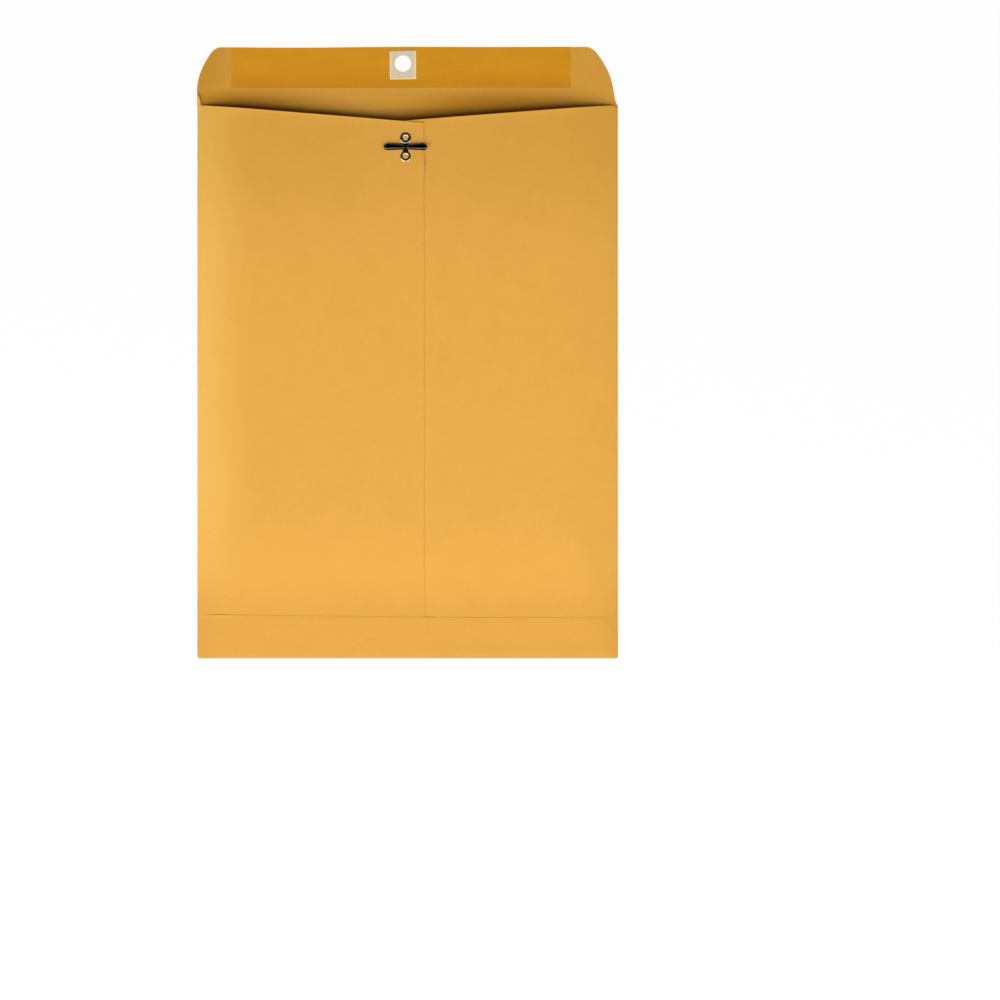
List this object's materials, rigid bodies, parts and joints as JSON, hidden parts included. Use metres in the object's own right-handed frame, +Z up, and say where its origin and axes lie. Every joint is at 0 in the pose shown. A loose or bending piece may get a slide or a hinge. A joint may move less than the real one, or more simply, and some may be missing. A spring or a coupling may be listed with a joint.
{
  "type": "clasp envelope",
  "caption": "Kraft paper clasp envelope lying with its flap open, with a gummed flap, a patched hole and a metal clasp with bendable prongs.",
  "frame": {"origin": "on the resting plane, under the middle of the open envelope's outline", "axes": "+X across the pocket to the right seen from the back, +Y from the bottom fold towards the seal flap, +Z up out of the back panels"},
  "size_m": [0.2414, 0.351, 0.0081],
  "materials": {
    "kraft_paper": "matte golden kraft with fine fibres",
    "dried_gum": "thin satin film of dried gum",
    "patch_paper": "matte beige fibre paper",
    "dry_paste": "dull dried paste",
    "clasp_metal": "dark polished sheet steel"
  },
  "bodies": {
    "pocket": {"front_panel": "kraft_paper", "left_back_panel": "kraft_paper", "right_back_panel": "kraft_paper", "bottom_flap": "kraft_paper", "seam_glue": "dry_paste", "bottom_glue": "dry_paste", "clasp_base": "clasp_metal", "upper_ring": "clasp_metal", "lower_ring": "clasp_metal"},
    "flap": {"seal_flap": "kraft_paper", "gum_strip": "dried_gum", "hole_patch": "patch_paper"},
    "left_prong": {"left_prong": "clasp_metal"},
    "right_prong": {"right_prong": "clasp_metal"}
  },
  "joints": [
    {"name": "flap_fold", "type": "hinge", "parent": "pocket", "child": "flap", "pos_m": [0, 0.14195, 0.00343], "axis": [1, 0, 0], "range_deg": [0, 180]},
    {"name": "left_prong_bend", "type": "hinge", "parent": "pocket", "child": "left_prong", "pos_m": [-0.0021, 0.11735, 0.00755], "axis": [0, 1, 0], "range_deg": [0, 90]},
    {"name": "right_prong_bend", "type": "hinge", "parent": "pocket", "child": "right_prong", "pos_m": [-0.0001, 0.11735, 0.00755], "axis": [0, -1, 0], "range_deg": [0, 90]}
  ]
}
